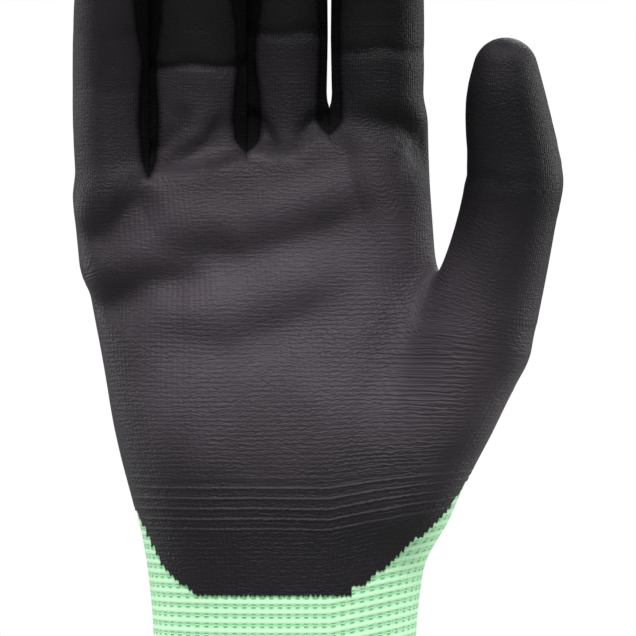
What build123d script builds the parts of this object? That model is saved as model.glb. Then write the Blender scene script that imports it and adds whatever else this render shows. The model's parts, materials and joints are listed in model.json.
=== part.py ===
"""A right-hand cut resistant work glove in its worn shape, in millimetres.

The glove stands upright on its open cuff: +Z runs along the fingers, the palm faces -Y and the thumb
is on the +X side. The origin is the centre of the cuff's opening, in the plane of the hem.

The real glove is one seamless knit with a coating dipped over its palm side. It bends anywhere, so the
knit and the coating are divided at the wrist and at each bend of each digit. A bow-tie of knit, the
fold, fills the space between two rigid stretches: wide on the palm side, narrow on the back.
"""

import os
from math import cos, radians, sin, sqrt, tan

from build123d import *

# ---------------------------------------------------------------- driving dimensions
KNIT = 1.2  # thickness of the knitted liner
CUFF_KNIT = 1.6  # the cuff's rib knit is thicker
COAT = 0.35  # thickness of the dipped coating
HINGE_GAP = 0.35  # from a hinge axis to the rigid knit on each side of it
FOLD_CLEARANCE = 0.3  # a fold stops this far short of the stretch beyond it
BALL_FULLNESS = 0.12  # the balls at the centres of a digit stand this far out of its cones
SIDE_ROOM = 1.4  # a cutting prism is this much wider than the digit it cuts

# The hand's sections, from the hem up: height, left edge, right edge and depth.
HAND_SECTIONS = [
    (0, -35.0, 35.0, 50.0),
    (24, -33.8, 33.8, 48.0),
    (48, -34.4, 34.4, 48.5),
    (60, -35.8, 36.2, 49.0),
    (80, -39.0, 41.0, 48.0),
    (105, -45.5, 42.0, 44.0),
    (130, -49.7, 42.0, 38.0),
    (155, -54.0, 39.5, 32.0),
]
# The top of the palm slopes up towards the index finger, through the roots of the fingers.
TOP_LEFT, TOP_RIGHT, TOP_DEPTH = -56.5, 38.0, 27.0
TOP_HEIGHT_AT_ZERO = 181.3
TOP_SLOPE = 0.22

WRIST_HEIGHT = 48.0
WRIST_FOLD_HALF_ANGLE = 13.0
WRIST_HALF_DEPTH = 27.0

# One finger: its X, the height of its root hinge, the lengths of its three stretches, and its radii
# at the root hinge, the middle hinge, the end hinge and the tip.
FINGERS = {
    "little": (-46.6, 179.5, (17.5, 17.5, 14.5), (10.0, 9.6, 8.8, 7.6)),
    "ring": (-23.2, 183.5, (21.5, 22.5, 16.5), (10.8, 10.7, 9.6, 8.2)),
    "middle": (1.6, 189.0, (23.5, 24.5, 17.0), (9.6, 9.5, 9.2, 8.2)),
    "index": (25.0, 196.0, (21.0, 22.0, 15.5), (12.0, 11.6, 10.2, 8.8)),
}
FINGER_TILTS = (6.0, 24.0, 36.0)  # how far each stretch leans towards the palm at rest
FINGER_ROOT_HEIGHT = 150.0  # the sockets start inside the palm at this height
FINGER_FOLD_HALF_ANGLES = (27.0, 35.0, 20.0)  # on the palm side, at the three hinges
FINGER_BACK_HALF_ANGLES = (6.0, 9.5, 5.5)  # on the back, which lets the finger straighten

# The thumb: its centres from inside the palm to the tip, with its radii. Its hinges are the third
# and the fourth centre, and it folds across the palm.
THUMB_CENTRES = [(33, -5, 88), (51, -12, 127), (57, -16, 153), (60.5, -20, 172), (58.8, -25, 197.8)]
THUMB_RADII = [15.0, 15.4, 13.4, 13.0, 9.8]
THUMB_FOLD_DIRECTION = (-0.5, -sqrt(0.75), 0)
THUMB_FOLD_HALF_ANGLES = (18.0, 28.0)
THUMB_BACK_HALF_ANGLES = (6.0, 8.0)

# The coating's lower edge, seen from the palm side: level across the heel of the hand, then rising
# to the little finger's side and further to the thumb's side.
COAT_EDGE = [(-70, 122), (-39.4, 83), (-21.3, 60), (16, 60), (27, 64), (49.7, 93), (80, 132)]
COAT_WRAP = 3.0  # how far past the side of the palm the coating reaches round
FINGER_COAT_WRAP = 0.35  # the same on a finger, as a share of its radius
THUMB_COAT_WRAP = 0.75

ELASTIC_YARNS = 14  # elastic yarns laid round the inside of the cuff
ELASTIC_PITCH = 2.4
ELASTIC_WIDTH = 0.7
ELASTIC_THICKNESS = 0.5
ELASTIC_SUNK = 0.25  # how deep each yarn lies in the knit
FIRST_ELASTIC_HEIGHT = 7.0

BINDING_HEIGHT = 5.0  # overlock thread round the hem
BINDING_STANDS_OUT = 0.8
CUFF_START = 1.0  # the knit starts this far above the bottom of its binding

FAR = 90.0  # longer than anything that a prism has to cut through

os.makedirs("parts", exist_ok=True)


def save(builder, name):
    """Label a finished piece and write it."""
    builder.part.label = name
    export_step(builder.part, f"parts/{name}.step")


# ---------------------------------------------------------------- solid shapes, grown by a skin
def ball_and_cone(start, end, start_radius, end_radius):
    """A tapered round stretch with a ball at each end, a hair fuller than the cone that it caps."""
    axis = Vector(*end) - Vector(*start)
    middle = Plane(origin=(Vector(*start) + Vector(*end)) * 0.5, z_dir=axis)
    with BuildPart() as stretch:
        with Locations(middle):
            Cone(start_radius, end_radius, axis.length)
        with Locations(Vector(*start)):
            Sphere(start_radius + BALL_FULLNESS)
        with Locations(Vector(*end)):
            Sphere(end_radius + BALL_FULLNESS)
    return stretch.part


def limb(centres, radii, skin):
    """A chain of tapered stretches through the centres, grown outwards by skin."""
    with BuildPart() as chain:
        for low, high, low_radius, high_radius in zip(centres, centres[1:], radii, radii[1:]):
            add(ball_and_cone(low, high, low_radius + skin, high_radius + skin))
    return chain.part


def hand_loft(skin, bottom=0.0, top_drop=0.0):
    """The palm and cuff as one rounded solid, grown outwards by skin."""
    with BuildPart() as hand:
        for height, left, right, depth in HAND_SECTIONS:
            level = height if height > 0 else bottom
            with BuildSketch(Plane(origin=((left + right) / 2, 0, level))):
                SlotOverall(right - left + 2 * skin, depth + 2 * skin)
        top_middle = (TOP_LEFT + TOP_RIGHT) / 2
        top_height = TOP_HEIGHT_AT_ZERO + TOP_SLOPE * top_middle - top_drop
        top_plane = Plane((top_middle, 0, top_height), x_dir=(1, 0, TOP_SLOPE), z_dir=(-TOP_SLOPE, 0, 1))
        top_width = (TOP_RIGHT - TOP_LEFT) * sqrt(1 + TOP_SLOPE**2)
        with BuildSketch(top_plane):
            SlotOverall(top_width + 2 * skin, TOP_DEPTH + 2 * skin)
        loft(ruled=True)
    return hand.part


# ---------------------------------------------------------------- hinges and the prisms that cut there
class Hinge:
    """One bend of a digit, seen in the digit's own fold plane: u towards the palm, v up."""

    def __init__(self, centre, fold_direction, before, after, palm_angle, back_angle, reach):
        self.centre = centre
        palmward = Vector(*fold_direction)
        self.plane = Plane(origin=(0, 0, 0), x_dir=palmward, z_dir=Vector(0, 0, 1).cross(palmward) * -1)
        self.u = Vector(*centre).dot(palmward)
        self.v = centre[2]
        along = Vector(*before).normalized() + Vector(*after).normalized()
        flat = Vector(along.dot(palmward), along.Z, 0).normalized()
        self.along = (flat.X, flat.Y)
        self.palmward = (flat.Y, -flat.X)
        self.palm_rise = tan(radians(palm_angle))
        self.back_rise = tan(radians(back_angle))
        self.reach = reach

    def point(self, sideways, along):
        """A point in the fold plane, from the hinge: sideways is towards the palm."""
        return (
            self.u + sideways * self.palmward[0] + along * self.along[0],
            self.v + sideways * self.palmward[1] + along * self.along[1],
        )

    def edge(self, side, inset=0.0, back_reach=None):
        """The three corners of one side of the fold, from palm to back. side is 1 beyond the hinge."""
        back = self.reach if back_reach is None else back_reach
        gap = HINGE_GAP - inset
        return [
            self.point(self.reach, side * (gap + self.reach * self.palm_rise)),
            self.point(0, side * gap),
            self.point(-back, side * (gap + abs(back) * self.back_rise)),
        ]


def prism(plane, corners):
    """A prism along the hinge axis through the given corners of the fold plane."""
    with BuildPart() as block:
        with BuildSketch(plane):
            with BuildLine():
                Polyline(*corners, close=True)
            make_face()
        extrude(amount=FAR, both=True)
    return block.part


def region_below(hinge, drop):
    """Everything on the near side of a hinge, down by drop and as far as needed to both sides."""
    corners = hinge.edge(-1)
    palm_drop = HINGE_GAP + hinge.reach * hinge.palm_rise
    back_drop = HINGE_GAP + hinge.reach * hinge.back_rise
    corners += [hinge.point(-FAR, -back_drop), hinge.point(-FAR, -drop)]
    corners += [hinge.point(FAR, -drop), hinge.point(FAR, -palm_drop)]
    return prism(hinge.plane, corners)


def region_between(low, high, back_reach=None):
    """The rigid stretch from one hinge to the next."""
    below = low.edge(1, back_reach=back_reach)
    above = high.edge(-1, back_reach=back_reach)
    return prism(low.plane, below + above[::-1])


def region_beyond(hinge, rise):
    """Everything past a hinge, up by rise."""
    corners = hinge.edge(1)
    return prism(hinge.plane, corners + [hinge.point(-hinge.reach, rise), hinge.point(hinge.reach, rise)])


def region_fold(hinge):
    """The bow-tie at a hinge, flush with the near stretch and just clear of the far one."""
    return prism(hinge.plane, hinge.edge(1, inset=FOLD_CLEARANCE) + hinge.edge(-1)[::-1])


# ---------------------------------------------------------------- the digits' centre lines
def finger_centres(x, root_height, lengths):
    """The root hinge, middle hinge, end hinge and tip centre of a finger at rest."""
    centres = [(x, 0.0, root_height)]
    for length, tilt in zip(lengths, FINGER_TILTS):
        _, y, z = centres[-1]
        lean = radians(tilt)
        centres.append((x, y - length * sin(lean), z + length * cos(lean)))
    return centres


def step(start, end):
    """The vector from one centre to another."""
    return tuple(b - a for a, b in zip(start, end))


digits = {}
for finger, (x, root_height, lengths, radii) in FINGERS.items():
    centres = [(x, 0.0, FINGER_ROOT_HEIGHT)] + finger_centres(x, root_height, lengths)
    all_radii = [radii[0] - 0.2] + list(radii)
    digits[finger] = {
        "centres": centres,
        "radii": all_radii,
        "first": 1,
        "fold": (0, -1, 0),
        "palm": FINGER_FOLD_HALF_ANGLES,
        "back": FINGER_BACK_HALF_ANGLES,
        "wrap": FINGER_COAT_WRAP,
        "stretches": ("base", "mid", "tip"),
    }
digits["thumb"] = {
    "centres": THUMB_CENTRES,
    "radii": THUMB_RADII,
    "first": 2,
    "fold": THUMB_FOLD_DIRECTION,
    "palm": THUMB_FOLD_HALF_ANGLES,
    "back": THUMB_BACK_HALF_ANGLES,
    "wrap": THUMB_COAT_WRAP,
    "stretches": ("mid", "tip"),
}

for name, digit in digits.items():
    centres = digit["centres"]
    hinges = []
    for place, (palm_angle, back_angle) in enumerate(zip(digit["palm"], digit["back"]), digit["first"]):
        before = step(centres[place - 1], centres[place])
        after = step(centres[place], centres[place + 1])
        reach = digit["radii"][place] + SIDE_ROOM
        hinges.append(Hinge(centres[place], digit["fold"], before, after, palm_angle, back_angle, reach))
    digit["hinges"] = hinges
    for number, hinge in enumerate(hinges):
        print(name, "hinge", number, [round(value, 2) for value in hinge.centre])
    print(name, "tip", [round(value, 2) for value in centres[-1]], "radius", digit["radii"][-1])

wrist = Hinge(
    (0, 0, WRIST_HEIGHT), (0, -1, 0), (0, 0, 1), (0, 0, 1),
    WRIST_FOLD_HALF_ANGLE, WRIST_FOLD_HALF_ANGLE, WRIST_HALF_DEPTH,
)


# ---------------------------------------------------------------- the palm with its sockets
def socket(digit, skin, trimmed):
    """The part of a digit that belongs to the palm, up to the digit's first hinge."""
    first = digit["first"]
    with BuildPart() as root:
        add(limb(digit["centres"][: first + 1], digit["radii"][: first + 1], skin))
        if trimmed:
            add(region_below(digit["hinges"][0], FAR), mode=Mode.INTERSECT)
    return root.part


def hand_form(skin, trimmed=True, bottom=0.0, top_drop=0.0):
    """The cuff, the palm and the five sockets as one solid."""
    with BuildPart() as form:
        add(hand_loft(skin, bottom, top_drop))
        for digit in digits.values():
            add(socket(digit, skin, trimmed))
    return form.part


outer_hand = hand_form(0)
inner_hand = hand_form(-KNIT, trimmed=False, bottom=-1.0, top_drop=KNIT)

with BuildPart() as palm_knit:
    add(outer_hand)
    add(inner_hand, mode=Mode.SUBTRACT)
    add(region_beyond(wrist, 2 * FAR), mode=Mode.INTERSECT)
save(palm_knit, "palm_knit")

with BuildPart() as coat_area:
    with BuildSketch(Plane.XZ):
        with BuildLine():
            Polyline(*COAT_EDGE, (80, 240), (-70, 240), close=True)
        make_face()
    extrude(amount=FAR)
    with BuildSketch(Plane.XZ):
        with BuildLine():
            Polyline(*COAT_EDGE, (80, 240), (-70, 240), close=True)
        make_face()
    extrude(amount=-COAT_WRAP)

with BuildPart() as palm_coating:
    add(hand_form(COAT))
    add(outer_hand, mode=Mode.SUBTRACT)
    add(coat_area.part, mode=Mode.INTERSECT)
save(palm_coating, "palm_coating")

# ---------------------------------------------------------------- the cuff
def cuff_size(height):
    """The cuff's outer width and depth at a height below its narrowest section."""
    (low, low_left, low_right, low_depth), (high, left, right, depth) = HAND_SECTIONS[:2]
    share = min(height / (high - low), 1.0)
    width = (low_right - low_left) * (1 - share) + (right - left) * share
    return width, low_depth * (1 - share) + depth * share


with BuildPart() as cuff_elastic:
    for number in range(ELASTIC_YARNS):
        height = FIRST_ELASTIC_HEIGHT + number * ELASTIC_PITCH
        width, depth = cuff_size(height)
        grow = 2 * (ELASTIC_SUNK - CUFF_KNIT)
        shrink = grow - 2 * ELASTIC_THICKNESS
        with BuildSketch(Plane.XY.offset(height)):
            SlotOverall(width + grow, depth + grow)
            SlotOverall(width + shrink, depth + shrink, mode=Mode.SUBTRACT)
        extrude(amount=ELASTIC_WIDTH)
save(cuff_elastic, "cuff_elastic")

with BuildPart() as cuff_solid:
    add(hand_loft(0))
    add(hand_loft(-CUFF_KNIT, bottom=-1.0), mode=Mode.SUBTRACT)

with BuildPart() as cuff_knit:
    add(cuff_solid.part)
    add(region_below(wrist, WRIST_HEIGHT - CUFF_START), mode=Mode.INTERSECT)
    add(cuff_elastic.part, mode=Mode.SUBTRACT)
save(cuff_knit, "cuff_knit")

with BuildPart() as wrist_fold:
    add(cuff_solid.part)
    add(region_fold(wrist), mode=Mode.INTERSECT)
save(wrist_fold, "wrist_fold")

with BuildPart() as hem_binding:
    width, depth = cuff_size(0)
    grow = 2 * BINDING_STANDS_OUT
    shrink = -2 * (CUFF_KNIT + BINDING_STANDS_OUT)
    with BuildSketch(Plane.XY):
        SlotOverall(width + grow, depth + grow)
        SlotOverall(width + shrink, depth + shrink, mode=Mode.SUBTRACT)
    extrude(amount=BINDING_HEIGHT)
    fillet(hem_binding.edges().group_by(Axis.Z)[0], BINDING_STANDS_OUT)
    add(cuff_knit.part, mode=Mode.SUBTRACT)
save(hem_binding, "hem_binding")


# ---------------------------------------------------------------- the rigid stretches and folds of a digit
def stretch_region(digit, number, back_reach=None):
    """The prism that holds one rigid stretch: between two hinges, or past the last one."""
    hinges = digit["hinges"]
    if number + 1 < len(hinges):
        return region_between(hinges[number], hinges[number + 1], back_reach)
    return region_beyond(hinges[number], FAR)


def stretch_knit(digit, number):
    """The knitted tube of one stretch."""
    place = digit["first"] + number
    centres = digit["centres"][place : place + 2]
    radii = digit["radii"][place : place + 2]
    with BuildPart() as knit:
        add(limb(centres, radii, 0))
        add(stretch_region(digit, number), mode=Mode.INTERSECT)
        add(limb(centres, radii, -KNIT), mode=Mode.SUBTRACT)
    return knit


def stretch_coating(digit, number):
    """The coating over the palm side of one stretch. A tip is coated all round."""
    place = digit["first"] + number
    centres = digit["centres"][place : place + 2]
    radii = digit["radii"][place : place + 2]
    with BuildPart() as coating:
        add(limb(centres, radii, COAT))
        add(stretch_region(digit, number, digit["wrap"] * min(radii)), mode=Mode.INTERSECT)
        add(limb(centres, radii, 0), mode=Mode.SUBTRACT)
    return coating


def hinge_fold(digit, number):
    """The knit and coating that crumple or stretch at one hinge."""
    place = digit["first"] + number
    centres = digit["centres"][place - 1 : place + 2]
    radii = digit["radii"][place - 1 : place + 2]
    with BuildPart() as fold:
        add(limb(centres, radii, COAT))
        add(limb(centres, radii, -KNIT), mode=Mode.SUBTRACT)
        add(region_fold(digit["hinges"][number]), mode=Mode.INTERSECT)
    return fold


for name, digit in digits.items():
    for number, stretch in enumerate(digit["stretches"]):
        save(stretch_knit(digit, number), f"{name}_{stretch}_knit")
        save(stretch_coating(digit, number), f"{name}_{stretch}_coating")
        save(hinge_fold(digit, number), f"{name}_{stretch}_fold")
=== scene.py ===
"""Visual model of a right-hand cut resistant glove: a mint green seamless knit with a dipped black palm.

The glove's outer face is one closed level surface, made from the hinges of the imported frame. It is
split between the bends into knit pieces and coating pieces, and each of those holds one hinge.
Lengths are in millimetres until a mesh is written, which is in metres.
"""

import json
import math

import bmesh
import bpy
import numpy as np
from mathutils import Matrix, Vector


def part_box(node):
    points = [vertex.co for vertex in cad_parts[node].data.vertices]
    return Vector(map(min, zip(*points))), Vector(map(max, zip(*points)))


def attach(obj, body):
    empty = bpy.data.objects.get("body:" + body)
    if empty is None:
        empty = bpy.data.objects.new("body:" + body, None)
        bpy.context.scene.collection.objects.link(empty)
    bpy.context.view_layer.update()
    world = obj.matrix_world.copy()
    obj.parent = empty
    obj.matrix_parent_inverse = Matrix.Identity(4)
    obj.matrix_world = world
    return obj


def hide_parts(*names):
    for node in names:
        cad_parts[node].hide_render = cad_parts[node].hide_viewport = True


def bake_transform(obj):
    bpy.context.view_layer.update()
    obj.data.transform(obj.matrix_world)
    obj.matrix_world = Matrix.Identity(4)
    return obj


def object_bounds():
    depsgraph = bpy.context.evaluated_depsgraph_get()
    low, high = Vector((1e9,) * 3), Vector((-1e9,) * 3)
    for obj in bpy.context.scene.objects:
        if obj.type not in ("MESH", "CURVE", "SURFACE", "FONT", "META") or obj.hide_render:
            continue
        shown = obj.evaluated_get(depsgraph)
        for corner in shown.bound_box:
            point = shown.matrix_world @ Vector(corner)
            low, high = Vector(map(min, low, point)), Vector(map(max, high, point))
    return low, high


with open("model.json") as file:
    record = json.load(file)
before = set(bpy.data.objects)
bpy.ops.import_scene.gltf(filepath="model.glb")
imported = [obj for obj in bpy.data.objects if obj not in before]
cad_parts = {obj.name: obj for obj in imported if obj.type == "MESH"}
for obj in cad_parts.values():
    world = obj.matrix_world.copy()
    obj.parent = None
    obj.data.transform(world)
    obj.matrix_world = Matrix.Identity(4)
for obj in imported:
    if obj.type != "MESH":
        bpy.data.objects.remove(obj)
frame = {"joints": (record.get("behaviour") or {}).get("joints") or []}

cad_box = [list(corner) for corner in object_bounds()]

MM = 0.001
KNIT_THICKNESS = 1.1
COAT_PROUD = 0.3  # the coating stands this far out of the knit
COAT_SUNK = 0.12  # and soaks this far into it
GRID = 1.0  # pitch of the grid that the level surface is taken from
COURSE = 1.25  # height of one row of stitches
FINGERS = ("little", "ring", "middle", "index")

frame_joints = {joint["name"]: joint for joint in frame["joints"]}
hinges = {name: np.array(joint["pos_m"]) / MM for name, joint in frame_joints.items()}


# -------- small helpers
def add_object(name, data):
    item = bpy.data.objects.new(name, data)
    bpy.context.scene.collection.objects.link(item)
    return item


def add_piece(name, points, faces, material):
    """A smooth mesh object from points in millimetres."""
    mesh = bpy.data.meshes.new(name)
    mesh.from_pydata((points * MM).tolist(), [], faces)
    mesh.polygons.foreach_set("use_smooth", np.ones(len(mesh.polygons), bool))
    mesh.materials.append(material)
    return add_object(name, mesh)


def unit(vector):
    return np.asarray(vector, float) / np.linalg.norm(vector)


def smooth_step(low, high, value):
    t = np.clip((value - low) / (high - low), 0, 1)
    return t * t * (3 - 2 * t)


def bell(distance, width):
    return np.exp(-0.5 * (distance / width) ** 2)


def curve(stations, values, softness=4.0):
    """A smooth function through rough stations: straight runs, then rounded by softness."""
    fine = np.arange(stations[0] - 30.0, stations[-1] + 30.0, 0.5)
    rough = np.interp(fine, stations, values)
    reach = int(4 * softness)
    kernel = bell(np.arange(-reach, reach + 1) * 0.5, softness)
    padded = np.pad(rough, reach, mode="edge")
    smooth = np.convolve(padded, kernel / kernel.sum(), mode="valid")
    return lambda z: np.interp(z, fine, smooth)


def cell_noise(*indices):
    """A repeatable number from 0 to 1 for each whole-numbered cell."""
    total = np.zeros(np.shape(indices[0]))
    for number, index in enumerate(indices):
        total = total + np.asarray(index) * (12.9898 + 65.233 * number)
    return np.mod(np.abs(np.sin(total)) * 43758.5453, 1.0)


# -------- the hand's sections, by height
WRIST = hinges["wrist_bend"][2]

LEVELS = np.array([0, 25, 54, 64, 75, 86, 96, 107, 118, 128, 139, 150, 160, 171, 190], float)
LEFT = (-34.8, -34.2, -35, -35.9, -37.5, -40.2, -43, -45.5, -47.2, -49, -51.2, -52.8, -53.9, -55.6, -55.6)
RIGHT = (34.8, 34.2, 35, 36.2, 38.2, 40.5, 41.8, 42, 41.6, 41.2, 40.6, 39.6, 38.8, 37.6, 36.4)
HALF_DEPTH = (24.6, 23.6, 24, 24.2, 23.4, 22.4, 21.2, 19.8, 18.6, 17.4, 16, 14.4, 12.9, 11, 9.3)
PALM_RELIEF = (0, 0, -2.6, -3, -1.8, 0.8, 2.6, 3.6, 3.4, 2.2, 0.8, 0.2, 0.6, 0.4, 0)
left_edge = curve(LEVELS, LEFT)
right_edge = curve(LEVELS, RIGHT)
half_depth = curve(LEVELS, HALF_DEPTH)
palm_relief = curve(LEVELS, PALM_RELIEF)  # how much fuller the palm side is than the back
SQUARENESS = 2.35  # exponent of the section: 2 is an ellipse


def hand_section(z):
    left, right = left_edge(z), right_edge(z)
    return (left + right) / 2, (right - left) / 2, half_depth(z)


def crotch_height(x):
    """Height of the webs between the fingers."""
    finger_x = [hinges[f"{name}_base_bend"][0] for name in FINGERS]
    finger_z = [hinges[f"{name}_base_bend"][2] for name in FINGERS]
    slope = np.interp(x, finger_x, finger_z)
    outer = (np.minimum(x - finger_x[0], 0) + np.maximum(x - finger_x[-1], 0)) * 0.2
    return slope + outer - 8.6


# -------- the digits
# Radii inside the palm, at the root hinge, the middle hinge, the end hinge and the tip, then how much
# wider than deep the finger is.
FINGER_RADII = {
    "little": ((7.0, 9.4, 9.5, 8.9, 7.6), 1.0),
    "ring": ((8.6, 9.9, 11.0, 9.4, 8.1), 1.02),
    "middle": ((8.4, 9.3, 9.5, 9.1, 8.1), 0.98),
    "index": ((9.4, 10.9, 11.0, 10.0, 8.8), 1.07),
}
FINGER_ROOT = 150.0
THUMB_ROOTS = ((30.6, -6, 89), (50.0, -12, 127))
THUMB_RADII = (14.2, 14.6, 12.7, 12.0, 10.6, 8.2)
THUMB_PAD = (-2.9, -3.9, 17.5)  # from the thumb's end hinge to the fullest place of its pad
THUMB_TIP = (-3.0, -5.2, 26.6)  # and to the centre of its tip


def rounded(chain):
    """A polyline with its corners cut twice. Its rows hold a centre and a radius."""
    for _ in range(2):
        near = chain[:-1] * 0.75 + chain[1:] * 0.25
        far = chain[:-1] * 0.25 + chain[1:] * 0.75
        inner = np.stack([near, far], 1).reshape(-1, chain.shape[1])
        chain = np.vstack([chain[:1], inner[1:-1], chain[-1:]])
    return chain


class Digit:
    """A rounded line of centres with radii, its hinges, and coordinates along and round it."""

    def __init__(self, name, centres, radii, flatness, palmward, joints, wrap):
        self.name = name
        chain = rounded(np.column_stack([centres, radii]))
        self.centres = chain[:, :3]
        self.radii = chain[:, 3]
        self.flatness = flatness
        self.palmward = unit(palmward)
        self.joints = joints
        self.wrap = wrap
        self.root = hinges[joints[0]]
        lengths = np.linalg.norm(np.diff(self.centres, axis=0), axis=1)
        self.along = np.concatenate([[0], np.cumsum(lengths)])
        self.along = self.along - self.along_of(self.root)

    def along_of(self, point):
        """How far along the line a point lies."""
        best, result = 1e9, 0.0
        for i, (low, high) in enumerate(zip(self.centres, self.centres[1:])):
            step = high - low
            t = np.clip((point - low) @ step / (step @ step), 0, 1)
            gap = np.linalg.norm(point - low - t * step)
            if gap < best:
                best, result = gap, self.along[i] + t * np.linalg.norm(step)
        return result

    def distance(self, points):
        """Distance out of the digit's skin. The space is narrowed across the digit to flatten it."""
        spots = points.copy()
        spots[..., 0] = (points[..., 0] - self.root[0]) / self.flatness + self.root[0]
        result = np.full(points.shape[:-1], 1e9)
        for low, high, low_radius, high_radius in zip(
            self.centres, self.centres[1:], self.radii, self.radii[1:]
        ):
            step = high - low
            length = np.linalg.norm(step)
            along = (spots - low) @ step / length
            beside = np.linalg.norm(spots - low - (along / length)[..., None] * step, axis=-1)
            taper = (low_radius - high_radius) / length
            t = np.clip((along - beside * taper / math.sqrt(1 - taper * taper)) / length, 0, 1)
            gap = np.hypot(along - t * length, beside)
            result = np.minimum(result, gap - (low_radius + (high_radius - low_radius) * t))
        return result

    def place(self, points):
        """For each point: how far along the digit, towards its palm side, across it, and its radius."""
        best = np.full(len(points), 1e9)
        along, palm, across, radius = (np.zeros(len(points)) for _ in range(4))
        last = len(self.centres) - 2
        for i, (low, high) in enumerate(zip(self.centres, self.centres[1:])):
            step = high - low
            length = np.linalg.norm(step)
            direction = step / length
            t = (points - low) @ direction
            inside = np.clip(t, 0, length)
            offset = points - low - inside[:, None] * direction
            gap = np.linalg.norm(offset, axis=1)
            closer = gap < best
            best[closer] = gap[closer]
            side = unit(np.cross(direction, np.cross(self.palmward, direction)))
            beside = np.cross(side, direction)
            reach = t if i == last else inside
            along[closer] = (self.along[i] + reach)[closer]
            palm[closer] = (offset @ side)[closer]
            across[closer] = (offset @ beside)[closer]
            size = self.radii[i] + (self.radii[i + 1] - self.radii[i]) * inside / length
            radius[closer] = size[closer]
        return along, palm, across, radius

    def centre_at(self, distance):
        """The point of the line at a distance along it from the first hinge."""
        return np.array([np.interp(distance, self.along, self.centres[:, k]) for k in range(3)])

    def direction_at(self, distance):
        return unit(self.centre_at(distance + 2) - self.centre_at(distance - 2))


def smooth_union(a, b, width):
    overlap = np.maximum(width - np.abs(a - b), 0) / width
    return np.minimum(a, b) - overlap * overlap * width / 4


def make_digits():
    digits = {}
    for name in FINGERS:
        radii, flatness = FINGER_RADII[name]
        joints = [f"{name}_base_bend", f"{name}_mid_bend", f"{name}_tip_bend"]
        first = hinges[joints[0]]
        low, high = (np.array(corner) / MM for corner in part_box(f"{name}_tip_knit"))
        tip = (first[0], low[1] + radii[-1], high[2] - radii[-1])
        centres = [(first[0], first[1], FINGER_ROOT)] + [hinges[joint] for joint in joints] + [tip]
        digits[name] = Digit(name, centres, radii, flatness, (0, -1, 0), joints, 0.3)
    joints = ["thumb_mid_bend", "thumb_tip_bend"]
    end = hinges[joints[1]]
    centres = list(THUMB_ROOTS) + [hinges[joints[0]], end, end + THUMB_PAD, end + THUMB_TIP]
    palmward = np.cross(frame_joints[joints[0]]["axis"], (0, 0, 1))
    digits["thumb"] = Digit("thumb", centres, THUMB_RADII, 1.0, palmward, joints, 0.68)
    return digits


digits = make_digits()


# -------- the level surface
WEB_ROUNDING = 6.0  # how softly the palm turns into the webs between the fingers


def palm_distance(points):
    """Distance out of the hand's own skin, without its digits."""
    x, y, z = points[..., 0], points[..., 1], points[..., 2]
    middle, half_width, depth = hand_section(z)
    hollow = 2.2 * bell(x + 2, 15) * bell(z - 122, 20)
    heel = 1.4 * bell(x + 26, 12) * bell(z - 92, 20)
    forward = np.where(y < 0, depth + palm_relief(z) - hollow + heel, depth)
    across = np.abs(x - middle) / half_width
    through = np.abs(y) / forward
    n = SQUARENESS
    q = np.maximum((across**n + through**n) ** (1 / n), 1e-3)
    slope = q ** (1 - n) * np.hypot(across ** (n - 1) / half_width, through ** (n - 1) / forward)
    body = (q - 1) / np.maximum(slope, 1e-3)
    return -smooth_union(-body, crotch_height(x) - z, WEB_ROUNDING)


BLEND_WIDTH = {"little": 5.0, "ring": 5.0, "middle": 5.0, "index": 5.0, "thumb": 10.0}
GRID_LOW = np.array([-62.0, -50.0, -4.0])
GRID_HIGH = np.array([80.0, 32.0, cad_box[1][2] / MM + 6])
CORNERS = [(i, j, k) for i in (0, 1) for j in (0, 1) for k in (0, 1)]


def sample_field():
    """The signed distance of the whole glove on a regular grid."""
    counts = np.ceil((GRID_HIGH - GRID_LOW) / GRID).astype(int) + 1
    ticks = [GRID_LOW[k] + GRID * np.arange(counts[k]) for k in range(3)]
    points = np.stack(np.meshgrid(*ticks, indexing="ij"), axis=-1)
    palm = palm_distance(points)
    field = palm.copy()
    for name, digit in digits.items():
        centres = digit.centres
        margin = max(digit.radii) + 10
        start = np.maximum(((centres.min(0) - margin - GRID_LOW) / GRID).astype(int), 0)
        stop = np.minimum(((centres.max(0) + margin - GRID_LOW) / GRID).astype(int) + 1, counts)
        window = tuple(slice(a, b) for a, b in zip(start, stop))
        joined = smooth_union(palm[window], digit.distance(points[window]), BLEND_WIDTH[name])
        field[window] = np.minimum(field[window], joined)
    return field


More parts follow.
